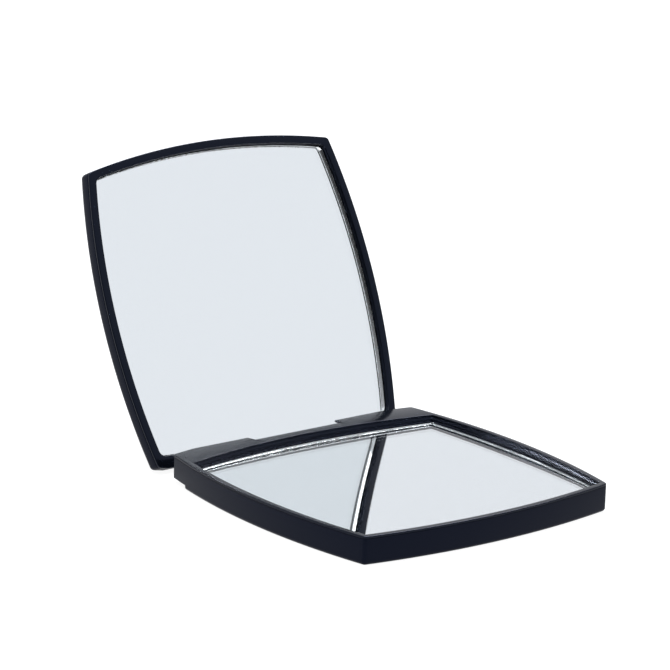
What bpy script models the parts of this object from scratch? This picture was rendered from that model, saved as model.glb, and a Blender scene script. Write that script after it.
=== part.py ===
"""Two-mirror pocket compact, standing open on a flat surface.

X runs along the hinge, Y from the front edge to the hinge, Z up.
The origin is the middle of the base's underside.
"""
import math

import bmesh
import bpy
from mathutils import Matrix

MM = 0.001

# Plan shape shared by base and lid: a square whose sides bow outward.
CORNER = 29.78 * MM            # half the distance between neighbouring corners
SIDE_BOW = 3.24 * MM           # how far the left and right edges bow out
END_BOW = 2.97 * MM            # how far the front edge bows out
BASE_TRIM = 30.80 * MM         # the base's hinge edge is cut flat here
LID_TRIM = 30.25 * MM          # the lid's hinge edge is cut flat here
EDGE_SEGMENTS = 16
CORNER_SEGMENTS = 4
CORNER_RADIUS = 1.0 * MM

# Base heights.
BASE_HEIGHT = 5.70 * MM
SHELL_TOP = 5.20 * MM
FLANGE_BOTTOM = 5.25 * MM
BASE_MIRROR_TOP = 3.66 * MM    # middle of the hollow face
BASE_PAD_TOP = 2.60 * MM
BASE_PAD_BOTTOM = 2.25 * MM
TRAY_TOP = 2.20 * MM
TRAY_BOTTOM = 1.70 * MM
SHELL_FLOOR = 1.50 * MM
BOTTOM_FILLET = 0.80 * MM
RELIEF_HEIGHT = 1.05 * MM      # underside step along the hinge edge
RELIEF_START = 24.3 * MM

# Base widths.
SHELL_WALL = 0.55 * MM
WALL_GAP = 0.10 * MM
BASE_RIM = 1.25 * MM
RECESS_BACK = 26.75 * MM       # middle of the recess's hinge-side edge
RECESS_BACK_BOW = 3.55 * MM
EDGE_BREAK = 0.14 * MM         # small bevel on visible edges

# Both recess walls step inward on a slanted ledge; depths are from the rim's face.
BASE_LEDGE = 0.30 * MM
LID_LEDGE = 0.15 * MM
BASE_LEDGE_TOP = 0.45 * MM
BASE_LEDGE_FOOT = 0.85 * MM
LID_LEDGE_TOP = 0.30 * MM
LID_LEDGE_FOOT = 0.60 * MM

# Lid depths, measured from its inner face outward.
LID_GAP = 0.20 * MM            # left between the closed lid and the base's rim
LID_THICKNESS = 3.90 * MM
LID_FLANGE = 0.45 * MM
LID_COVER_START = 0.60 * MM
LID_MIRROR_FACE = 0.95 * MM
LID_PAD_FACE = 2.02 * MM
LID_PAD_BACK = 2.93 * MM
LID_PANEL = 3.00 * MM
LID_FILLET = 1.55 * MM
LID_WALL = 0.62 * MM
LID_RIM = 1.62 * MM
LID_RECESS_BACK = 28.90 * MM
LID_RECESS_BACK_BOW = 1.30 * MM
LID_RECESS_CORNER = 3.20 * MM  # before the rim is taken off
LID_FACE = BASE_HEIGHT + LID_GAP        # height of the closed lid's inner face

# Mirrors.
MIRROR_GAP = 0.15 * MM
MIRROR_ARRIS = 0.12 * MM       # ground-off corner round the glass's face
MIRROR_GLASS = 1.00 * MM       # thickness
MAGNIFIER_RADIUS = 900.0 * MM  # the base's mirror is hollow, and so enlarges a little
BOWL_SCALES = (0.12, 0.34, 0.56, 0.78)  # rings between the middle and the edge
PAD_INSET = 3.5 * MM

# Hinge.
HINGE_Y = 30.68 * MM
HINGE_Z = 2.34 * MM
OPEN_ANGLE = math.radians(115.2)
BARREL_RADIUS = 1.40 * MM
BARREL_SEGMENTS = 28
NOTCH_HALF = 10.90 * MM
NOTCH_WALL = 28.97 * MM
KNUCKLE_HALF = 10.50 * MM
EAR_INNER = 11.0 * MM
EAR_OUTER = 15.5 * MM
SHELL_OPENING_HALF = 15.9 * MM
ARM_FRONT = 29.25 * MM
ARM_BACK = 30.60 * MM
ARM_SINK = 0.30 * MM           # how far the arm runs into the lid's ring
PIN_RADIUS = 0.60 * MM
PIN_CLEARANCE = 0.05 * MM
PIN_INNER = 7.2 * MM
PIN_OUTER = 15.0 * MM
PIN_BEVEL = 0.12 * MM
PIN_END_PLAY = 0.20 * MM       # hole depth left past each pin's end
HEEL_REACH = 1.62 * MM         # stop face, from the axis
HEEL_DROP = 0.95 * MM
HEEL_ROOT = 0.50 * MM          # the heel starts this far inside the knuckle
HEEL_TOP = 0.02 * MM
AXIS_POINT = (0.0, HINGE_Y, HINGE_Z)

# Cutters reach past the body they cut.
CUT_REACH = 40.0 * MM
CUT_BELOW = -5.0 * MM
CUT_ABOVE = 20.0 * MM
CUT_MARGIN = 1.0 * MM
OPENING_MARGIN = 0.30 * MM     # clearance between shell opening and notch wall

# Mesh quality.
FILLET_STEPS = 5
QUARTER_TURN = math.radians(90)
LOFT_SHARP = math.radians(28)
ROD_SHARP = math.radians(40)
MIN_CORNER = 0.15 * MM
LEVEL_EDGE = 1e-6


def clear_scene():
    for item in list(bpy.data.objects):
        bpy.data.objects.remove(item, do_unlink=True)


def make_material(name, colour, roughness, metallic=0.0):
    material = bpy.data.materials.new(name)
    material.use_nodes = True
    shader = material.node_tree.nodes["Principled BSDF"]
    shader.inputs["Base Color"].default_value = (*colour, 1.0)
    shader.inputs["Roughness"].default_value = roughness
    shader.inputs["Metallic"].default_value = metallic
    return material


def circle_meet(centre_a, radius_a, centre_b, radius_b, side_x, side_y):
    """Crossing of two circles in the quadrant given by the signs side_x and side_y."""
    dx = centre_b[0] - centre_a[0]
    dy = centre_b[1] - centre_a[1]
    span = math.hypot(dx, dy)
    along = (radius_a ** 2 - radius_b ** 2 + span ** 2) / (2 * span)
    across = math.sqrt(radius_a ** 2 - along ** 2)
    best = None
    for sign in (1, -1):
        x = centre_a[0] + along * dx / span - sign * across * dy / span
        y = centre_a[1] + along * dy / span + sign * across * dx / span
        if best is None or x * side_x + y * side_y > best[0] * side_x + best[1] * side_y:
            best = (x, y)
    return best


def bow_radius(half_chord, bow):
    return (half_chord ** 2 + bow ** 2) / (2 * bow)


def plan(inset, back=None, back_bow=END_BOW, trim=None, corner=CORNER_RADIUS):
    """Counter-clockwise outline of the bowed square, moved inward by inset.

    back is the middle of the hinge-side edge before the inset, which bows by back_bow.
    trim cuts that edge flat at a Y, also moved inward by the inset.
    """
    if back is None:
        back = CORNER + END_BOW
    corner = max(corner - inset, MIN_CORNER)
    shrink = inset + corner
    side = bow_radius(CORNER, SIDE_BOW)
    front = bow_radius(CORNER, END_BOW)
    rear = bow_radius(CORNER, back_bow)
    circles = [
        ((0.0, front - CORNER - END_BOW), front),
        ((CORNER + SIDE_BOW - side, 0.0), side),
        ((0.0, back - rear), rear),
        ((side - CORNER - SIDE_BOW, 0.0), side),
    ]
    quadrants = [(-1, -1), (1, -1), (1, 1), (-1, 1)]
    meets = []
    for index, quadrant in enumerate(quadrants):
        before = circles[index - 1]
        after = circles[index]
        meets.append(circle_meet(before[0], before[1] - shrink, after[0], after[1] - shrink, *quadrant))
    points = []
    for index, (centre, radius) in enumerate(circles):
        start = meets[index]
        end = meets[(index + 1) % 4]
        first = math.atan2(start[1] - centre[1], start[0] - centre[0])
        last = math.atan2(end[1] - centre[1], end[0] - centre[0])
        if last < first:
            last += 2 * math.pi
        for step in range(EDGE_SEGMENTS + 1):
            angle = first + (last - first) * step / EDGE_SEGMENTS
            x = centre[0] + (radius - inset) * math.cos(angle)
            y = centre[1] + (radius - inset) * math.sin(angle)
            points.append((x, y))
        centre_next = circles[(index + 1) % 4][0]
        turn_end = math.atan2(end[1] - centre_next[1], end[0] - centre_next[0])
        while turn_end < last:
            turn_end += 2 * math.pi
        for step in range(1, CORNER_SEGMENTS):
            angle = last + (turn_end - last) * step / CORNER_SEGMENTS
            points.append((end[0] + corner * math.cos(angle), end[1] + corner * math.sin(angle)))
    if trim is not None:
        points = [(x, min(y, trim - inset)) for x, y in points]
    return points


def ring(outline, z):
    return [(x, y, z) for x, y in outline]


def new_object(name, mesh, material, parent=None):
    item = bpy.data.objects.new(name, mesh)
    bpy.context.scene.collection.objects.link(item)
    if material is not None:
        mesh.materials.append(material)
    if parent is not None:
        item.parent = parent
    return item


def loft(name, rings, material, parent=None, offset=(0.0, 0.0, 0.0), closed=False):
    """Skin a stack of equal rings; the ends are capped, or joined when closed."""
    shape = bmesh.new()
    loops = []
    for points in rings:
        loops.append([shape.verts.new((x - offset[0], y - offset[1], z - offset[2])) for x, y, z in points])
    pairs = list(zip(loops, loops[1:]))
    if closed:
        pairs.append((loops[-1], loops[0]))
    for lower, upper in pairs:
        count = len(lower)
        for index in range(count):
            after = (index + 1) % count
            shape.faces.new((lower[index], lower[after], upper[after], upper[index]))
    if not closed:
        shape.faces.new(list(reversed(loops[0])))
        shape.faces.new(loops[-1])
    bmesh.ops.recalc_face_normals(shape, faces=shape.faces)
    mesh = bpy.data.meshes.new(name)
    shape.to_mesh(mesh)
    shape.free()
    mesh.shade_smooth()
    mesh.set_sharp_from_angle(angle=LOFT_SHARP)
    return new_object(name, mesh, material, parent)


def box(name, low, high, material=None, parent=None, offset=(0.0, 0.0, 0.0)):
    shape = bmesh.new()
    bmesh.ops.create_cube(shape, size=1.0)
    size = [b - a for a, b in zip(low, high)]
    middle = [(a + b) / 2 - c for a, b, c in zip(low, high, offset)]
    bmesh.ops.scale(shape, vec=size, verts=shape.verts)
    bmesh.ops.translate(shape, vec=middle, verts=shape.verts)
    mesh = bpy.data.meshes.new(name)
    shape.to_mesh(mesh)
    shape.free()
    return new_object(name, mesh, material, parent)


def rod(name, x_low, x_high, y, z, radius, material=None, parent=None, bevel=0.0):
    """Solid cylinder along X."""
    shape = bmesh.new()
    bmesh.ops.create_cone(
        shape,
        cap_ends=True,
        segments=BARREL_SEGMENTS,
        radius1=radius,
        radius2=radius,
        depth=x_high - x_low,
    )
    if bevel > 0:
        rims = [edge for edge in shape.edges if abs(edge.verts[0].co.z - edge.verts[1].co.z) < LEVEL_EDGE]
        bmesh.ops.bevel(shape, geom=rims, offset=bevel, segments=1, affect="EDGES")
    bmesh.ops.rotate(shape, matrix=Matrix.Rotation(QUARTER_TURN, 3, "Y"), verts=shape.verts)
    bmesh.ops.translate(shape, vec=((x_low + x_high) / 2, y, z), verts=shape.verts)
    mesh = bpy.data.meshes.new(name)
    shape.to_mesh(mesh)
    shape.free()
    mesh.shade_smooth()
    mesh.set_sharp_from_angle(angle=ROD_SHARP)
    return new_object(name, mesh, material, parent)


def as_tool(item):
    item.hide_render = True
    item.display_type = "WIRE"
    return item


def apply_tool(target, tool, operation):
    modifier = target.modifiers.new(tool.name, "BOOLEAN")
    modifier.operation = operation
    modifier.solver = "EXACT"
    modifier.object = as_tool(tool)


def fillet_rings(outline_at, radius, z_edge, direction):
    """Rings of a quarter-round edge that starts flat at z_edge and turns into the wall."""
    rings = []
    for step in range(FILLET_STEPS + 1):
        angle = QUARTER_TURN * step / FILLET_STEPS
        inset = radius * (1 - math.sin(angle))
        z = z_edge + direction * radius * (1 - math.cos(angle))
        rings.append(ring(outline_at(inset), z))
    return rings


def base_outline(inset):
    return plan(inset, trim=BASE_TRIM)


def base_recess(inset):
    return plan(BASE_RIM + inset, back=RECESS_BACK + BASE_RIM, back_bow=RECESS_BACK_BOW)


def lid_outline(inset):
    return plan(inset, trim=LID_TRIM)


def lid_recess(inset):
    back = LID_RECESS_BACK + LID_RIM
    return plan(LID_RIM + inset, back=back, back_bow=LID_RECESS_BACK_BOW, corner=LID_RECESS_CORNER)


def build_base_shell(material):
    """Outer tray: rounded underside, side walls, open where the hinge block comes through."""
    rings = fillet_rings(base_outline, BOTTOM_FILLET, 0.0, 1)
    rings.append(ring(base_outline(0.0), SHELL_TOP - EDGE_BREAK))
    rings.append(ring(base_outline(EDGE_BREAK), SHELL_TOP))
    rings.append(ring(base_outline(SHELL_WALL), SHELL_TOP))
    rings.append(ring(base_outline(SHELL_WALL), SHELL_FLOOR))
    shell = loft("base_shell", rings, material)
    relief = box(
        "relief_cutter",
        (-CUT_REACH, RELIEF_START, CUT_BELOW),
        (CUT_REACH, CUT_REACH, RELIEF_HEIGHT),
    )
    apply_tool(shell, relief, "DIFFERENCE")
    opening = box(
        "hinge_opening_cutter",
        (-SHELL_OPENING_HALF, NOTCH_WALL - OPENING_MARGIN, CUT_BELOW),
        (SHELL_OPENING_HALF, CUT_REACH, CUT_ABOVE),
    )
    apply_tool(shell, opening, "DIFFERENCE")
    return shell


def build_base_frame(material):
    """Inner tray: rim, mirror recess and the two hinge ears."""
    body = SHELL_WALL + WALL_GAP
    rings = [
        ring(base_outline(body), TRAY_BOTTOM),
        ring(base_outline(body), FLANGE_BOTTOM),
        ring(base_outline(0.0), FLANGE_BOTTOM),
        ring(base_outline(0.0), BASE_HEIGHT - EDGE_BREAK),
        ring(base_outline(EDGE_BREAK), BASE_HEIGHT),
        ring(base_recess(-EDGE_BREAK), BASE_HEIGHT),
        ring(base_recess(0.0), BASE_HEIGHT - EDGE_BREAK),
        ring(base_recess(0.0), BASE_HEIGHT - BASE_LEDGE_TOP),
        ring(base_recess(BASE_LEDGE), BASE_HEIGHT - BASE_LEDGE_FOOT),
        ring(base_recess(BASE_LEDGE), TRAY_TOP),
    ]
    frame = loft("base_frame", rings, material)
    for side, low in (("left", -EAR_OUTER), ("right", EAR_INNER)):
        ear = rod(
            "ear_" + side,
            low,
            low + EAR_OUTER - EAR_INNER,
            HINGE_Y,
            HINGE_Z,
            BARREL_RADIUS,
        )
        apply_tool(frame, ear, "UNION")
    notch = box(
        "notch_cutter",
        (-NOTCH_HALF, NOTCH_WALL, CUT_BELOW),
        (NOTCH_HALF, CUT_REACH, CUT_ABOVE),
    )
    apply_tool(frame, notch, "DIFFERENCE")
    for side, low in (("left", -PIN_OUTER - PIN_END_PLAY), ("right", PIN_INNER)):
        hole = rod(
            "ear_hole_" + side,
            low,
            low + PIN_OUTER + PIN_END_PLAY - PIN_INNER,
            HINGE_Y,
            HINGE_Z,
            PIN_RADIUS + PIN_CLEARANCE,
        )
        apply_tool(frame, hole, "DIFFERENCE")
    return frame


def bowl_ring(outline, scale, z_middle):
    """An outline shrunk towards the middle and laid on the hollow mirror's surface."""
    points = [(x * scale, y * scale) for x, y in outline]
    return [(x, y, z_middle + (x * x + y * y) / (2 * MAGNIFIER_RADIUS)) for x, y in points]


def build_base_mirror(material):
    """Hollow magnifying mirror: bent glass, its front corner ground off."""
    rim = base_recess(BASE_LEDGE + MIRROR_GAP)
    face_rim = base_recess(BASE_LEDGE + MIRROR_GAP + MIRROR_ARRIS)
    back = BASE_MIRROR_TOP - MIRROR_GLASS
    rings = [bowl_ring(rim, scale, back) for scale in BOWL_SCALES]
    rings.append(bowl_ring(rim, 1.0, back))
    rings.append(bowl_ring(rim, 1.0, BASE_MIRROR_TOP - MIRROR_ARRIS))
    rings.append(bowl_ring(face_rim, 1.0, BASE_MIRROR_TOP))
    rings.extend(bowl_ring(face_rim, scale, BASE_MIRROR_TOP) for scale in reversed(BOWL_SCALES))
    return loft("base_mirror", rings, material)


def build_base_pad(material):
    rings = [ring(base_recess(PAD_INSET), BASE_PAD_BOTTOM), ring(base_recess(PAD_INSET), BASE_PAD_TOP)]
    return loft("base_mirror_pad", rings, material)


def build_pin(side, material):
    low = -PIN_OUTER if side == "left" else PIN_INNER
    return rod(
        "hinge_pin_" + side,
        low,
        low + PIN_OUTER - PIN_INNER,
        HINGE_Y,
        HINGE_Z,
        PIN_RADIUS,
        material,
        bevel=PIN_BEVEL,
    )


def lid_axis():
    """Empty on the hinge line; the lid is shaped closed and turned open about it."""
    axis = bpy.data.objects.new("lid_axis", None)
    bpy.context.scene.collection.objects.link(axis)
    axis.location = AXIS_POINT
    axis.rotation_euler = (-OPEN_ANGLE, 0.0, 0.0)
    return axis


def lid_loft(name, rings, material, axis, closed=False):
    return loft(name, rings, material, parent=axis, offset=AXIS_POINT, closed=closed)


def build_lid_cover(material, axis):
    """Outer lid shell with a rounded back edge."""
    top = LID_FACE + LID_THICKNESS
    start = LID_FACE + LID_COVER_START
    rings = [
        ring(lid_outline(LID_WALL), LID_FACE + LID_PANEL),
        ring(lid_outline(LID_WALL), start),
        ring(lid_outline(EDGE_BREAK), start),
        ring(lid_outline(0.0), start + EDGE_BREAK),
    ]
    rings.extend(reversed(fillet_rings(lid_outline, LID_FILLET, top, -1)))
    return lid_loft("lid_cover", rings, material, axis)


def build_lid_frame(material, axis):
    """Ring that holds the lid's mirror, with the hinge arm, knuckle and stop heel."""
    body = LID_WALL + WALL_GAP
    back = LID_FACE + LID_PAD_BACK
    flange = LID_FACE + LID_FLANGE
    rings = [
        ring(lid_outline(body), back),
        ring(lid_outline(body), flange),
        ring(lid_outline(0.0), flange),
        ring(lid_outline(0.0), LID_FACE + EDGE_BREAK),
        ring(lid_outline(EDGE_BREAK), LID_FACE),
        ring(lid_recess(-EDGE_BREAK), LID_FACE),
        ring(lid_recess(0.0), LID_FACE + EDGE_BREAK),
        ring(lid_recess(0.0), LID_FACE + LID_LEDGE_TOP),
        ring(lid_recess(LID_LEDGE), LID_FACE + LID_LEDGE_FOOT),
        ring(lid_recess(LID_LEDGE), back),
    ]
    frame = lid_loft("lid_frame", rings, material, axis, closed=True)
    arm = box(
        "lid_arm",
        (-KNUCKLE_HALF, ARM_FRONT, HINGE_Z),
        (KNUCKLE_HALF, ARM_BACK, LID_FACE + ARM_SINK),
        parent=axis,
        offset=AXIS_POINT,
    )
    apply_tool(frame, arm, "UNION")
    knuckle = rod("lid_knuckle", -KNUCKLE_HALF, KNUCKLE_HALF, 0.0, 0.0, BARREL_RADIUS, parent=axis)
    apply_tool(frame, knuckle, "UNION")
    heel = box(
        "lid_heel",
        (-KNUCKLE_HALF, -HEEL_REACH, -HEEL_DROP),
        (KNUCKLE_HALF, -HEEL_ROOT, -HEEL_TOP),
        parent=axis,
    )
    heel.rotation_euler = (OPEN_ANGLE, 0.0, 0.0)
    apply_tool(frame, heel, "UNION")
    hole_length = KNUCKLE_HALF + CUT_MARGIN + PIN_END_PLAY - PIN_INNER
    for side, low in (("left", -KNUCKLE_HALF - CUT_MARGIN), ("right", PIN_INNER - PIN_END_PLAY)):
        hole = rod(
            "knuckle_hole_" + side,
            low,
            low + hole_length,
            0.0,
            0.0,
            PIN_RADIUS + PIN_CLEARANCE,
            parent=axis,
        )
        apply_tool(frame, hole, "DIFFERENCE")
    return frame


def build_lid_mirror(material, axis):
    """Flat glass plate with its front corner ground off."""
    edge = LID_LEDGE + MIRROR_GAP
    face = LID_FACE + LID_MIRROR_FACE
    rings = [
        ring(lid_recess(edge), face + MIRROR_GLASS),
        ring(lid_recess(edge), face + MIRROR_ARRIS),
        ring(lid_recess(edge + MIRROR_ARRIS), face),
    ]
    return lid_loft("lid_mirror", rings, material, axis)


def build_lid_pad(material, axis):
    rings = [
        ring(lid_recess(PAD_INSET), LID_FACE + LID_PAD_BACK),
        ring(lid_recess(PAD_INSET), LID_FACE + LID_PAD_FACE),
    ]
    return lid_loft("lid_mirror_pad", rings, material, axis)


def build_compact():
    clear_scene()
    shell_black = make_material("satin_black", (0.035, 0.037, 0.045), 0.35)
    frame_black = make_material("gloss_black", (0.03, 0.032, 0.04), 0.18)
    silvered = make_material("silvered_glass", (0.88, 0.9, 0.92), 0.02, 1.0)
    foam = make_material("white_foam", (0.75, 0.75, 0.72), 0.9)
    steel = make_material("pin_steel", (0.62, 0.62, 0.62), 0.3, 1.0)
    build_base_shell(shell_black)
    build_base_frame(frame_black)
    build_base_mirror(silvered)
    build_base_pad(foam)
    build_pin("left", steel)
    build_pin("right", steel)
    axis = lid_axis()
    build_lid_cover(shell_black, axis)
    build_lid_frame(frame_black, axis)
    build_lid_mirror(silvered, axis)
    build_lid_pad(foam, axis)


build_compact()
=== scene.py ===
import math
import bpy
import numpy as np
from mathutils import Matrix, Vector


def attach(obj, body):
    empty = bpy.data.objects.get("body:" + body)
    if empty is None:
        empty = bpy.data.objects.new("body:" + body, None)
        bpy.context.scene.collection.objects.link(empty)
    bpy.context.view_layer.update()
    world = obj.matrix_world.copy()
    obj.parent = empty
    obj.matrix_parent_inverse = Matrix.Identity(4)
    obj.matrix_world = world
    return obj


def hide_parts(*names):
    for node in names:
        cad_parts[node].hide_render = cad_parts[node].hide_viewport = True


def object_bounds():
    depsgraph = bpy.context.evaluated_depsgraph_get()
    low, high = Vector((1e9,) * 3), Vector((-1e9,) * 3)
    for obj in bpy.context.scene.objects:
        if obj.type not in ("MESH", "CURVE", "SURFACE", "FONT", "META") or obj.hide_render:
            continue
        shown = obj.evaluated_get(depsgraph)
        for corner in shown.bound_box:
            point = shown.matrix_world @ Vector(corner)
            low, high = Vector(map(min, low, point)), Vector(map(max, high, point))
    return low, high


# Two-mirror pocket compact, standing open. Lengths are in millimetres until a mesh is made.
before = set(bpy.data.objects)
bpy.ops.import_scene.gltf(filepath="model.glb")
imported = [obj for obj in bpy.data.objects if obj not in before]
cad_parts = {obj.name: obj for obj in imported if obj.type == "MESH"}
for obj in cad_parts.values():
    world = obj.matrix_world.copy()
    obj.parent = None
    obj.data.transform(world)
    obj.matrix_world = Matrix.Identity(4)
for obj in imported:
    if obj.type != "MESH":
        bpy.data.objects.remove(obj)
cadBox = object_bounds()
mm = 0.001

# The bowed square that base and lid share, seen from above.
plan = {
    "corner": 29.78,            # half the distance between neighbouring corners
    "sideBow": 3.24,            # how far left and right edges swell
    "endBow": 2.97,             # how far the front edge swells
    "cornerRadius": 1.0,
    "edgeSteps": 96,            # stations along each edge
    "cornerSteps": 10,
    "leastRadius": 0.15,        # corners never get sharper than this
}

hinge = {"y": 30.68, "z": 2.34, "openAngle": 115.2}


def sRGB(code):
    # hex colour to linear light: the usual two-part sRGB curve
    parts = np.array([int(code[i:i + 2], 16) for i in (1, 3, 5)]) / 255
    linear = np.where(parts <= 0.04045, parts / 12.92, ((parts + 0.055) / 1.055) ** 2.4)
    return (*linear.tolist(), 1.0)


def addNode(tree, kind, settings=None, links=None):
    # one node: settings go to its sockets or its own properties, links join its sockets to others
    item = tree.nodes.new(kind)
    for key, value in (settings or {}).items():
        if key in item.inputs:
            item.inputs[key].default_value = value
        else:
            setattr(item, key, value)
    for key, socket in (links or {}).items():
        tree.links.new(socket, item.inputs[key])
    return item


def startMaterial(name):
    material = bpy.data.materials.new(name)
    material.use_nodes = True
    tree = material.node_tree
    return material, tree, tree.nodes["Principled BSDF"]


def bowRadius(halfChord, bow):
    # radius of the circle through a chord's ends and a point `bow` off its middle
    return (halfChord ** 2 + bow ** 2) / (2 * bow)


def crossing(centreA, radiusA, centreB, radiusB, towards):
    # the crossing of two circles that lies furthest towards a direction
    gap = centreB - centreA
    span = np.hypot(*gap)
    along = (radiusA ** 2 - radiusB ** 2 + span ** 2) / (2 * span)
    across = math.sqrt(radiusA ** 2 - along ** 2)
    unit = gap / span
    normal = np.array([-unit[1], unit[0]])
    both = centreA + along * unit + np.array([[1.0], [-1.0]]) * across * normal
    return both[np.argmax(both @ np.array(towards))]


def arcPoints(centre, radius, first, last, count):
    # points on a circle, evenly turned from angle first to angle last
    turn = np.linspace(first, last, count)
    return np.stack([centre[0] + radius * np.cos(turn), centre[1] + radius * np.sin(turn)], axis=1)


def outline(inset, shape):
    # Counter-clockwise outline moved inward by inset: four circle arcs joined by round corners.
    # The hinge-side edge is cut flat at shape["trim"], and steps in to shape["notchWall"] at the notch.
    side = bowRadius(plan["corner"], plan["sideBow"])
    front = bowRadius(plan["corner"], plan["endBow"])
    rear = bowRadius(plan["corner"], shape["backBow"])
    reach = plan["corner"] + plan["sideBow"]
    circles = [
        (np.array([0.0, front - plan["corner"] - plan["endBow"]]), front),
        (np.array([reach - side, 0.0]), side),
        (np.array([0.0, shape["back"] - rear]), rear),
        (np.array([side - reach, 0.0]), side),
    ]
    radius = max(shape.get("corner", plan["cornerRadius"]) - inset, plan["leastRadius"])
    shrink = inset + radius
    ways = [(-1, -1), (1, -1), (1, 1), (-1, 1)]
    inner = [(centre, full - shrink) for centre, full in circles]
    meets = [crossing(*inner[k - 1], *inner[k], ways[k]) for k in range(4)]
    parts = []
    for k, (centre, full) in enumerate(circles):
        start, end = meets[k] - centre, meets[(k + 1) % 4] - centre
        first = math.atan2(start[1], start[0])
        last = first + (math.atan2(end[1], end[0]) - first) % (2 * math.pi)
        edge = arcPoints(centre, full - inset, first, last, plan["edgeSteps"])
        if k == 2 and shape.get("trim"):
            edge = hingeEdge(edge, inset, shape)
        parts.append(edge)
        ahead = meets[(k + 1) % 4] - circles[(k + 1) % 4][0]
        turned = last + (math.atan2(ahead[1], ahead[0]) - last) % (2 * math.pi)
        parts.append(arcPoints(meets[(k + 1) % 4], radius, last, turned, plan["cornerSteps"])[1:-1])
    return np.concatenate(parts)


def hingeEdge(edge, inset, shape):
    # the bowed edge, cut flat, with the notch's four corners among its stations
    half = shape.get("notchHalf")
    x, y = edge[:, 0], np.minimum(edge[:, 1], shape["trim"] - inset)
    if half is None:
        return np.stack([x, y], axis=1)
    edge = min(inset, shape["notchEdge"])
    half = half + edge
    third = plan["edgeSteps"] // 3
    right = np.linspace(x[0], half, third)
    middle = np.linspace(half, -half, plan["edgeSteps"] - 2 * third)
    left = np.linspace(-half, x[-1], third)
    yRight = np.interp(-right, -x, y)
    yLeft = np.interp(-left, -x, y)
    yMiddle = np.full(middle.shape, shape["notchWall"] - edge)
    return np.stack([np.concatenate([right, middle, left]), np.concatenate([yRight, yMiddle, yLeft])], axis=1)


def quarterRound(radius, steps, insetAt, zAt, fromDeg, toDeg):
    # (inset, z) points of a rounded edge: a circle about (insetAt, zAt), angle 0 towards the outside
    turn = np.radians(np.linspace(fromDeg, toDeg, steps))
    return np.stack([insetAt - radius * np.cos(turn), zAt + radius * np.sin(turn)], axis=1)


def stackRings(profile, shape):
    # profile carried round an outline: each (inset, z) row of the profile is one ring of points
    rings = []
    for inset, z in profile:
        flat = outline(inset, shape)
        rings.append(np.column_stack([flat, np.full(len(flat), z)]))
    return np.array(rings)


def ringFaces(rows, columns, closedRows, start=0):
    # quads between neighbouring rings; columns always close, rows close when asked
    last = rows if closedRows else rows - 1
    row = np.arange(last)[:, None]
    column = np.arange(columns)[None, :]
    nextRow, nextColumn = (row + 1) % rows, (column + 1) % columns
    quads = np.stack([
        row * columns + column,
        row * columns + nextColumn,
        nextRow * columns + nextColumn,
        nextRow * columns + column,
    ], axis=-1)
    return (quads.reshape(-1, 4) + start).tolist()


def makePiece(name, shells, sharpDeg=30.0):
    # shells: list of (rings, ends). ends is True for rows that close on themselves, False for a flat cap
    # at each end, or a list of the cap faces.
    points, faces, start = [], [], 0
    for rings, closed in shells:
        rows, columns = rings.shape[:2]
        points.append(rings.reshape(-1, 3))
        faces += ringFaces(rows, columns, closed is True, start)
        if isinstance(closed, list):
            faces += [[start + i for i in cap] for cap in closed]
        elif not closed:
            faces.append(list(range(start, start + columns))[::-1])
            faces.append(list(range(start + (rows - 1) * columns, start + rows * columns)))
        start += rows * columns
    mesh = bpy.data.meshes.new(name)
    mesh.from_pydata((np.concatenate(points) * mm).tolist(), [], faces)
    mesh.validate()
    mesh.shade_smooth()
    mesh.set_sharp_from_angle(angle=math.radians(sharpDeg))
    piece = bpy.data.objects.new(name, mesh)
    bpy.context.scene.collection.objects.link(piece)
    return piece


def finishPiece(piece, body, material, node):
    piece.data.materials.clear()
    piece.data.materials.append(material)
    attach(piece, body)
    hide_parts(node)
    return piece


def openLid(rings):
    # closed lid to open lid: turn every point back about the hinge line by the open angle
    turn = math.radians(-hinge["openAngle"])
    y, z = rings[..., 1] - hinge["y"], rings[..., 2] - hinge["z"]
    turned = rings.copy()
    turned[..., 1] = hinge["y"] + y * math.cos(turn) - z * math.sin(turn)
    turned[..., 2] = hinge["z"] + y * math.sin(turn) + z * math.cos(turn)
    return turned


def alongX(section, xLow, xHigh, edge=0.12):
    # a section in (y, z) carried along X, with a small chamfer at both ends
    centre = section.mean(axis=0)
    away = section - centre
    reach = np.hypot(away[:, 0], away[:, 1])[:, None]
    small = section - away / reach * edge
    stops = [(xLow, small), (xLow + edge, section), (xHigh - edge, section), (xHigh, small)]
    return np.array([np.column_stack([np.full(len(part), x), part]) for x, part in stops])


# ---- materials

# pattern sizes are in millimetres
plasticIor = 1.49
satin = {
    "colour": "#0b0e18", "sheen": "#bccdff", "roughness": 0.32, "shine": 0.09,
    "grain": 0.12, "cloud": 18.0, "bump": 0.05, "bumpDepth": 0.02,
}
polished = {
    "colour": "#06080d", "sheen": "#bccdff", "roughness": 0.13, "shine": 0.20,
    "haze": 6.0, "bump": 0.08, "bumpDepth": 0.05,
}
silver = {"colour": "#f5f8f9", "roughness": 0.004, "cloud": 20.0}
glass = {
    "colour": "#fbfcfc", "ior": 1.52, "smearSize": 14.0, "smearRoughness": 0.012,
    "chipSize": 0.45, "chipColour": "#f8fbfd", "chipRoughness": 0.18, "chipBump": 0.6, "chipDepth": 0.1,
}
tape = {"colour": "#dedbd2", "roughness": 0.9, "cell": 0.25, "bump": 0.5, "cellDepth": 0.05}
steel = {"colour": "#c3c4c6", "drawLine": 0.06, "stretch": 0.02, "roughness": (0.22, 0.42)}


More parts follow.
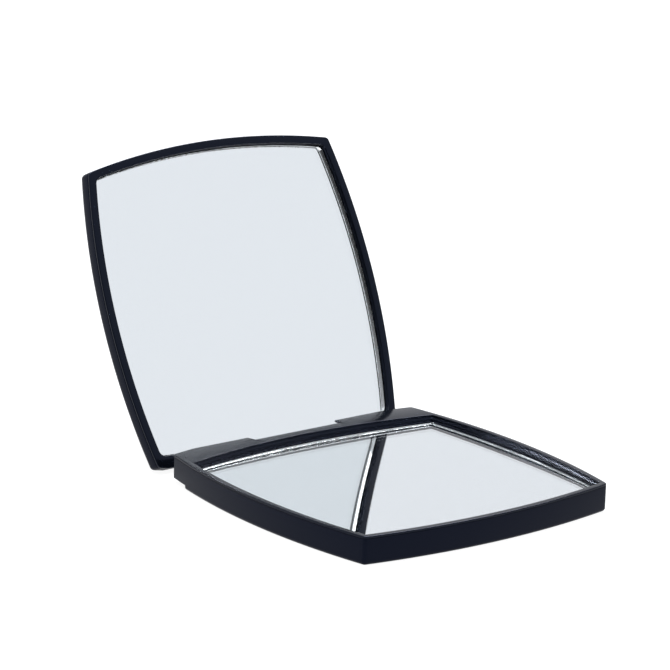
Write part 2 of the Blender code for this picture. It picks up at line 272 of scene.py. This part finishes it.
def satinPlastic():
    # ABS moulded against a fine spark-eroded tool: deep blue-black, soft sheen, 0.12 mm grain
    material, tree, shader = startMaterial("satin black ABS")
    place = addNode(tree, "ShaderNodeTexCoord").outputs["Object"]
    grain = addNode(tree, "ShaderNodeTexNoise", {"Scale": 1000 / satin["grain"], "Detail": 2.0},
                    {"Vector": place})
    cloud = addNode(tree, "ShaderNodeTexNoise", {"Scale": 1000 / satin["cloud"], "Detail": 3.0},
                    {"Vector": place})
    gloss = addNode(tree, "ShaderNodeMapRange",
                    {"To Min": satin["roughness"] - 0.04, "To Max": satin["roughness"] + 0.05},
                    {"Value": cloud.outputs["Fac"]})
    bump = addNode(tree, "ShaderNodeBump", {"Strength": satin["bump"], "Distance": satin["bumpDepth"] * mm},
                   {"Height": grain.outputs["Fac"]})
    shader.inputs["Base Color"].default_value = sRGB(satin["colour"])
    shader.inputs["IOR"].default_value = plasticIor
    shader.inputs["Specular IOR Level"].default_value = satin["shine"]
    shader.inputs["Specular Tint"].default_value = sRGB(satin["sheen"])
    tree.links.new(gloss.outputs["Result"], shader.inputs["Roughness"])
    tree.links.new(bump.outputs["Normal"], shader.inputs["Normal"])
    return material


def polishedPlastic():
    # ABS moulded against a polished tool: nearly black, clear soft-edged reflections, faint waviness
    material, tree, shader = startMaterial("polished black ABS")
    place = addNode(tree, "ShaderNodeTexCoord").outputs["Object"]
    haze = addNode(tree, "ShaderNodeTexNoise", {"Scale": 1000 / polished["haze"], "Detail": 4.0},
                   {"Vector": place})
    gloss = addNode(tree, "ShaderNodeMapRange",
                    {"To Min": polished["roughness"] - 0.03, "To Max": polished["roughness"] + 0.06},
                    {"Value": haze.outputs["Fac"]})
    bump = addNode(tree, "ShaderNodeBump",
                   {"Strength": polished["bump"], "Distance": polished["bumpDepth"] * mm},
                   {"Height": haze.outputs["Fac"]})
    shader.inputs["Base Color"].default_value = sRGB(polished["colour"])
    shader.inputs["IOR"].default_value = plasticIor
    shader.inputs["Specular IOR Level"].default_value = polished["shine"]
    shader.inputs["Specular Tint"].default_value = sRGB(polished["sheen"])
    tree.links.new(gloss.outputs["Result"], shader.inputs["Roughness"])
    tree.links.new(bump.outputs["Normal"], shader.inputs["Normal"])
    return material


def plateGlass():
    # float glass over the silvering: clear, with the faintest wipe marks a centimetre or so long
    material, tree, shader = startMaterial("float glass")
    place = addNode(tree, "ShaderNodeTexCoord").outputs["Object"]
    smear = addNode(tree, "ShaderNodeTexNoise", {"Scale": 1000 / glass["smearSize"], "Detail": 5.0},
                    {"Vector": place})
    gloss = addNode(tree, "ShaderNodeMapRange",
                    {"From Min": 0.5, "To Min": 0.0, "To Max": glass["smearRoughness"]},
                    {"Value": smear.outputs["Fac"]})
    shader.inputs["Base Color"].default_value = sRGB(glass["colour"])
    shader.inputs["IOR"].default_value = glass["ior"]
    shader.inputs["Transmission Weight"].default_value = 1.0
    tree.links.new(gloss.outputs["Result"], shader.inputs["Roughness"])
    return material


def silverCoat():
    # silver laid on the back of the glass: a clean, bright reflection, slightly uneven at 20 mm scale
    material, tree, shader = startMaterial("silver coating")
    place = addNode(tree, "ShaderNodeTexCoord").outputs["Object"]
    cloud = addNode(tree, "ShaderNodeTexNoise", {"Scale": 1000 / silver["cloud"], "Detail": 2.0},
                    {"Vector": place})
    gloss = addNode(tree, "ShaderNodeMapRange", {"To Min": 0.0, "To Max": silver["roughness"]},
                    {"Value": cloud.outputs["Fac"]})
    shader.inputs["Base Color"].default_value = sRGB(silver["colour"])
    shader.inputs["Metallic"].default_value = 1.0
    tree.links.new(gloss.outputs["Result"], shader.inputs["Roughness"])
    return material


def chippedEdge():
    # scored and snapped glass corner: white where half-millimetre chips scatter light, clear between
    material, tree, shader = startMaterial("chipped glass edge")
    place = addNode(tree, "ShaderNodeTexCoord").outputs["Object"]
    chips = addNode(tree, "ShaderNodeTexNoise", {"Scale": 1000 / glass["chipSize"], "Detail": 4.0},
                    {"Vector": place})
    clear = addNode(tree, "ShaderNodeMapRange",
                    {"From Min": 0.40, "From Max": 0.54, "To Min": 1.0, "To Max": 0.05},
                    {"Value": chips.outputs["Fac"]})
    bump = addNode(tree, "ShaderNodeBump",
                   {"Strength": glass["chipBump"], "Distance": glass["chipDepth"] * mm},
                   {"Height": chips.outputs["Fac"]})
    shader.inputs["Base Color"].default_value = sRGB(glass["chipColour"])
    shader.inputs["IOR"].default_value = glass["ior"]
    shader.inputs["Roughness"].default_value = glass["chipRoughness"]
    tree.links.new(clear.outputs["Result"], shader.inputs["Transmission Weight"])
    tree.links.new(bump.outputs["Normal"], shader.inputs["Normal"])
    return material


def foamTape():
    # white polyethylene foam tape: matt, with open cells about a quarter of a millimetre across
    material, tree, shader = startMaterial("polyethylene foam tape")
    place = addNode(tree, "ShaderNodeTexCoord").outputs["Object"]
    cells = addNode(tree, "ShaderNodeTexVoronoi", {"Scale": 1000 / tape["cell"]}, {"Vector": place})
    bump = addNode(tree, "ShaderNodeBump", {"Strength": tape["bump"], "Distance": tape["cellDepth"] * mm},
                   {"Height": cells.outputs["Distance"]})
    shader.inputs["Base Color"].default_value = sRGB(tape["colour"])
    shader.inputs["Roughness"].default_value = tape["roughness"]
    tree.links.new(bump.outputs["Normal"], shader.inputs["Normal"])
    return material


def drawnSteel():
    # drawn stainless wire: bright grey, fine lines along the pin
    material, tree, shader = startMaterial("drawn stainless steel")
    place = addNode(tree, "ShaderNodeTexCoord").outputs["Object"]
    fine = 1000 / steel["drawLine"]
    stretch = addNode(tree, "ShaderNodeMapping", {"Scale": (fine * steel["stretch"], fine, fine)},
                      {"Vector": place})
    lines = addNode(tree, "ShaderNodeTexNoise", {"Scale": 1.0, "Detail": 2.0},
                    {"Vector": stretch.outputs["Vector"]})
    low, high = steel["roughness"]
    gloss = addNode(tree, "ShaderNodeMapRange", {"To Min": low, "To Max": high},
                    {"Value": lines.outputs["Fac"]})
    shader.inputs["Base Color"].default_value = sRGB(steel["colour"])
    shader.inputs["Metallic"].default_value = 1.0
    tree.links.new(gloss.outputs["Result"], shader.inputs["Roughness"])
    return material


satinBlack = satinPlastic()
polishedBlack = polishedPlastic()
clearGlass = plateGlass()
groundGlass = chippedEdge()
silvering = silverCoat()
padFoam = foamTape()
pinSteel = drawnSteel()
print("materials made")

# ---- base

baseShape = {"back": 32.75, "backBow": 2.97, "trim": 30.80}
baseFrameShape = dict(baseShape, notchHalf=10.90, notchWall=28.97, notchEdge=0.3)
baseRecessShape = {"back": 28.00, "backBow": 3.55}      # the hinge-side edge before the rim's inset
baseParts = {
    "height": 5.70, "shellTop": 5.20, "wall": 0.55, "gap": 0.10, "floor": 1.50,
    "fillet": 0.80, "reliefHeight": 1.05, "reliefStart": 24.3,
    "flangeBottom": 5.25, "rim": 1.25, "rimRound": 0.20, "trayTop": 2.20, "trayBottom": 1.70,
    "ledge": 0.30, "ledgeTop": 0.45, "ledgeFoot": 0.85, "mirrorFace": 3.66, "arris": 0.26,
    "openingHalf": 15.9, "openingWall": 28.67, "softEdge": 0.08, "recessEdge": 0.12,
}
mirrorParts = {"gap": 0.14, "glass": 1.00, "magnifierRadius": 900.0, "rings": 20, "sharpDeg": 8}
earParts = {"inner": 11.0, "outer": 15.5, "radius": 1.40, "steps": 48}


def recessWall(sizes, face, floorAt):
    # (inset, z) of the wall round a mirror: rounded edge, slanted ledge, then straight down past the glass
    down = math.copysign(1.0, face - floorAt)
    rim, wide, ledgeTop, ledgeFoot = (sizes[key] for key in ("rim", "ledge", "ledgeTop", "ledgeFoot"))
    edge, soft = sizes["recessEdge"], wide / 3
    profile = np.concatenate([
        quarterRound(edge, 6, rim - edge, -edge, 90, 180),
        quarterRound(soft, 5, rim + soft, -ledgeTop, 0, -45),
        quarterRound(soft, 5, rim + wide - soft, -ledgeFoot, 135, 180),
        [[rim + wide, -abs(face - floorAt)]],
    ])
    profile[:, 1] = face + down * profile[:, 1]
    return profile


def buildBaseFrame():
    b = baseParts
    body, rimRound, soft = b["wall"] + b["gap"], b["rimRound"], b["softEdge"]
    outer = np.concatenate([
        [[body, b["trayBottom"]], [body, b["flangeBottom"]]],
        quarterRound(soft, 4, soft, b["flangeBottom"] + soft, -90, 0),
        quarterRound(rimRound, 7, rimRound, b["height"] - rimRound, 0, 90),
    ])
    inner = recessWall(b, b["height"], b["trayTop"])
    rings = np.concatenate([stackRings(outer, baseFrameShape), stackRings(inner, baseRecessShape)])
    turn = np.linspace(0, 2 * math.pi, earParts["steps"], endpoint=False)
    circle = np.stack([hinge["y"] + earParts["radius"] * np.cos(turn),
                       hinge["z"] + earParts["radius"] * np.sin(turn)], axis=1)
    ears = [(alongX(circle, low, low + earParts["outer"] - earParts["inner"]), False)
            for low in (-earParts["outer"], earParts["inner"])]
    piece = makePiece("baseFrame", [(rings, False)] + ears)
    return finishPiece(piece, "base", polishedBlack, "base_frame")


def buildMirror(name, recess, sizes, face, towards, body, node):
    # Glass plate silvered behind, its front corner ground off. Each face is a stack of rings shrinking to
    # the middle; the magnifier's are lifted by distance squared over twice its radius.
    gap, arris = sizes["rim"] + sizes["ledge"] + mirrorParts["gap"], sizes["arris"]
    rim, faceRim = outline(gap, recess), outline(gap + arris, recess)
    back = face - towards * mirrorParts["glass"]
    scales = np.linspace(0.02, 1.0, mirrorParts["rings"])
    flats = [(rim * k, back) for k in scales]
    flats += [(rim, face - towards * arris)]
    flats += [(faceRim * k, face) for k in scales[::-1]]
    rings = np.array([np.column_stack([flat, np.full(len(flat), z)]) for flat, z in flats])
    if body == "base":
        rings[..., 2] += (rings[..., 0] ** 2 + rings[..., 1] ** 2) / (2 * mirrorParts["magnifierRadius"])
    else:
        rings = openLid(rings[:, ::-1])
    piece = makePiece(name, [(rings, False)], sharpDeg=mirrorParts["sharpDeg"])
    finishPiece(piece, body, clearGlass, node)
    piece.data.materials.append(groundGlass)
    piece.data.materials.append(silvering)
    around, backRows = rings.shape[1], mirrorParts["rings"] - 1
    clear, ground, silvered = 0, 1, 2       # places in the piece's list of materials
    kinds = np.full(len(piece.data.polygons), clear, dtype=np.int32)
    kinds[:backRows * around] = silvered
    kinds[(backRows + 1) * around:(backRows + 2) * around] = ground
    kinds[-2] = silvered    # the first of the two small middle faces closes the silvered back
    piece.data.polygons.foreach_set("material_index", kinds)
    return piece


def buildBaseShell():
    # outer tray: the underside is stepped up behind reliefStart and the wall is left out at the hinge
    b = baseParts
    soft = b["softEdge"]
    shape = dict(baseShape, notchHalf=b["openingHalf"], notchWall=b["openingWall"], notchEdge=0.0)
    profile = np.concatenate([
        quarterRound(b["fillet"], 14, b["fillet"], b["fillet"], -90, 0),
        [[0.0, b["reliefHeight"] + 0.10], [0.0, b["reliefHeight"] + 0.20]],   # keeps the step's shading low
        quarterRound(soft, 4, soft, b["shellTop"] - soft, 0, 90),
        [[b["wall"], b["shellTop"]], [b["wall"], b["floor"]]],
    ])
    rings = stackRings(profile, shape)
    outer = rings[-1]
    step = 0.03             # the step's two stations stand this far either side of reliefStart
    for k in np.flatnonzero(np.diff(outer[:, 1] > b["reliefStart"])):
        rising = outer[k + 1, 1] > outer[k, 1]
        near = slice(max(k - 4, 0), k + 6)
        for ring in rings:
            order = np.argsort(ring[near, 1])
            ys = b["reliefStart"] + step * np.array([-1, 1] if rising else [1, -1])
            ring[k:k + 2, 0] = np.interp(ys, ring[near, 1][order], ring[near, 0][order])
            ring[k:k + 2, 1] = ys
    raised = rings[0, :, 1] > b["reliefStart"]
    opened = (np.abs(rings[..., 0]) < b["openingHalf"] + 1e-6) & (rings[..., 1] > b["openingWall"] - 0.6)
    opened &= rings[..., 1] < b["openingWall"] + 1e-6
    rings[..., 2] = np.where(raised, np.maximum(rings[..., 2], b["reliefHeight"]), rings[..., 2])
    rings[..., 2] = np.where(opened, np.minimum(rings[..., 2], b["floor"]), rings[..., 2])
    behind = np.flatnonzero(raised)
    before = np.flatnonzero(~np.roll(raised, -behind[0]))
    before = (before + behind[0]) % len(raised)
    count = rings.shape[1]
    caps = [
        before[::-1].tolist(),
        behind[::-1].tolist(),
        [int(before[0]), int(behind[-1]), int(behind[0]), int(before[-1])],
        [int(i) + (len(rings) - 1) * count for i in range(count)],
    ]
    piece = makePiece("baseShell", [(rings, caps)])
    return finishPiece(piece, "base", satinBlack, "base_shell")


baseShell = buildBaseShell()
baseFrame = buildBaseFrame()
baseMirror = buildMirror("baseMirror", baseRecessShape, baseParts, baseParts["mirrorFace"], 1, "base",
                         "base_mirror")
print("base frame and mirror made")

# ---- lid

lidShape = {"back": 32.75, "backBow": 2.97, "trim": 30.25}
lidRecessShape = {"back": 30.52, "backBow": 1.30, "corner": 3.20}
lidParts = {
    "face": 5.90, "thickness": 3.90, "flange": 0.45, "coverStart": 0.60, "wall": 0.62, "gap": 0.10,
    "rim": 1.62, "rimRound": 0.20, "frameBack": 2.93, "panel": 3.00, "fillet": 1.55,
    "ledge": 0.15, "ledgeTop": 0.30, "ledgeFoot": 0.60, "mirrorFace": 0.95, "arris": 0.12,
    "softEdge": 0.08, "coverEdge": 0.10, "recessEdge": 0.06,
}
armParts = {"half": 10.50, "front": 29.25, "back": 30.60, "radius": 1.40, "heelReach": 1.62, "heelDrop": 0.95}


def buildLidCover():
    c = lidParts
    start, top = c["face"] + c["coverStart"], c["face"] + c["thickness"]
    fillet, soft = c["fillet"], c["coverEdge"]
    profile = np.concatenate([
        [[c["wall"], c["face"] + c["panel"]], [c["wall"], start]],
        quarterRound(soft, 4, soft, start + soft, -90, 0),
        quarterRound(fillet, 16, fillet, top - fillet, 0, 90),
    ])
    piece = makePiece("lidCover", [(openLid(stackRings(profile, lidShape)), False)])
    return finishPiece(piece, "lid", satinBlack, "lid_cover")


def knuckleSection():
    # (y, z) section of arm, knuckle and stop heel with the lid closed
    a = armParts
    axis = np.array([hinge["y"], hinge["z"]])
    turn = math.radians(hinge["openAngle"])
    spin = np.array([[math.cos(turn), -math.sin(turn)], [math.sin(turn), math.cos(turn)]])
    heel = np.array([[-a["heelReach"], -0.02], [-a["heelReach"], -a["heelDrop"]]]) @ spin.T
    heelAngles = np.degrees(np.arctan2(heel[:, 1], heel[:, 0]))
    backAngle = math.degrees(math.acos((a["back"] - hinge["y"]) / a["radius"]))
    lower = arcPoints(axis, a["radius"], math.radians(180), math.radians(360 + heelAngles[0] - 6), 24)
    upper = arcPoints(axis, a["radius"], math.radians(-22), math.radians(backAngle), 20)
    topZ = lidParts["face"] + 0.3
    return np.concatenate([
        [[a["front"], topZ], [a["front"], hinge["z"]]], lower, axis + heel, upper, [[a["back"], topZ]],
    ])


def buildLidFrame():
    c = lidParts
    body, rimRound, soft = c["wall"] + c["gap"], c["rimRound"], c["softEdge"]
    back, flange = c["face"] + c["frameBack"], c["face"] + c["flange"]
    outer = np.concatenate([
        [[body, back], [body, flange]],
        quarterRound(soft, 4, soft, flange - soft, 90, 0),
        quarterRound(rimRound, 7, rimRound, c["face"] + rimRound, 0, -90),
    ])
    inner = recessWall(c, c["face"], back)
    rings = np.concatenate([stackRings(outer, lidShape), stackRings(inner, lidRecessShape)])[:, ::-1]
    arm = alongX(knuckleSection(), -armParts["half"], armParts["half"])
    piece = makePiece("lidFrame", [(openLid(rings), True), (openLid(arm), False)])
    return finishPiece(piece, "lid", polishedBlack, "lid_frame")


lidCover = buildLidCover()
lidFrame = buildLidFrame()
lidMirror = buildMirror("lidMirror", lidRecessShape, lidParts, lidParts["face"] + lidParts["mirrorFace"], -1,
                        "lid", "lid_mirror")
print("lid made")

# ---- pieces that keep their CAD shape

for node, material in (
    ("base_mirror_pad", padFoam),
    ("lid_mirror_pad", padFoam),
    ("hinge_pin_left", pinSteel),
    ("hinge_pin_right", pinSteel),
):
    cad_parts[node].data.materials.clear()
    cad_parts[node].data.materials.append(material)

# ---- studio

studio = {
    "floor": "#5a5b5d", "floorGlow": 0.93, "floorSize": 6.0, "floorRoughness": 0.9,
    "sky": "#eff1f6", "darkSide": (-0.66, -0.75, 0.0), "darkness": 0.05, "darkEdge": (0.65, 0.90),
    "strip": {"place": (0.33, 0.20, 1.0), "size": (1.4, 0.30), "turn": (0, 0, 20), "power": 32.0},
    "fill": {"place": (-0.80, -0.36, 1.0), "size": (0.5, 0.5), "turn": (-18, -36, 0), "power": 1.7},
}
lens = {
    "azimuth": -38.77, "elevation": 15.85, "roll": 1.95, "distance": 815.0,
    "sideways": -11.32, "height": 32.09, "focal": 229.1,
}


def layFloor():
    half = studio["floorSize"] / 2
    mesh = bpy.data.meshes.new("floor")
    corners = [(-half, -half, 0), (half, -half, 0), (half, half, 0), (-half, half, 0)]
    mesh.from_pydata(corners, [], [(0, 1, 2, 3)])
    floor = bpy.data.objects.new("floor", mesh)
    bpy.context.scene.collection.objects.link(floor)
    floor.location.z = min(cadBox[0][2], 0.0) - 0.00002
    material, tree, shader = startMaterial("back-lit opal acrylic")
    shader.inputs["Base Color"].default_value = sRGB(studio["floor"])
    shader.inputs["Roughness"].default_value = studio["floorRoughness"]
    shader.inputs["Emission Color"].default_value = (1, 1, 1, 1)
    shader.inputs["Emission Strength"].default_value = studio["floorGlow"]
    mesh.materials.append(material)


def hangSoftbox(name):
    box = studio[name]
    light = bpy.data.lights.new(name + " softbox", "AREA")
    light.shape = "RECTANGLE"
    light.size, light.size_y = box["size"]
    light.energy = box["power"]
    lamp = bpy.data.objects.new(name + " softbox", light)
    bpy.context.scene.collection.objects.link(lamp)
    lamp.location = box["place"]
    lamp.rotation_euler = np.radians(box["turn"])


def setSky():
    world = bpy.data.worlds.new("studio")
    world.use_nodes = True
    sky = world.node_tree.nodes["Background"]
    sky.inputs["Color"].default_value = sRGB(studio["sky"])
    # white walls all round, except for the unlit end of the studio
    place = addNode(world.node_tree, "ShaderNodeTexCoord").outputs["Generated"]
    towards = addNode(world.node_tree, "ShaderNodeVectorMath", {"operation": "DOT_PRODUCT"})
    world.node_tree.links.new(place, towards.inputs[0])
    towards.inputs[1].default_value = studio["darkSide"]
    low, high = studio["darkEdge"]
    level = addNode(world.node_tree, "ShaderNodeMapRange",
                    {"From Min": low, "From Max": high, "To Min": 1.0, "To Max": studio["darkness"]},
                    {"Value": towards.outputs["Value"]})
    world.node_tree.links.new(level.outputs["Result"], sky.inputs["Strength"])
    bpy.context.scene.world = world


def aimCamera():
    # the camera stands on a circle about a point beside the object's middle, turned by its roll
    azimuth, elevation = math.radians(lens["azimuth"]), math.radians(lens["elevation"])
    back = np.array([math.sin(azimuth) * math.cos(elevation),
                     -math.cos(azimuth) * math.cos(elevation), math.sin(elevation)])
    right = np.array([math.cos(azimuth), math.sin(azimuth), 0.0])
    up = np.cross(back, right)
    target = right * lens["sideways"] + np.array([0, 0, lens["height"]])
    roll = math.radians(lens["roll"])
    rightTurned = right * math.cos(roll) + up * math.sin(roll)
    upTurned = up * math.cos(roll) - right * math.sin(roll)
    data = bpy.data.cameras.new("camera")
    data.lens = lens["focal"]
    data.sensor_width = 36.0
    data.clip_start = 0.01
    camera = bpy.data.objects.new("camera", data)
    bpy.context.scene.collection.objects.link(camera)
    matrix = np.eye(4)
    matrix[:3, 0], matrix[:3, 1], matrix[:3, 2] = rightTurned, upTurned, back
    matrix[:3, 3] = (target + back * lens["distance"]) * mm
    camera.matrix_world = matrix.T.tolist()
    bpy.context.scene.camera = camera


layFloor()
setSky()
hangSoftbox("strip")         # overhead and a little behind: draws the bright lines along the ledges
hangSoftbox("fill")          # high on the left: seen by the cut edges of the glass
aimCamera()
bpy.context.scene.view_settings.view_transform = "Standard"
print("studio set")
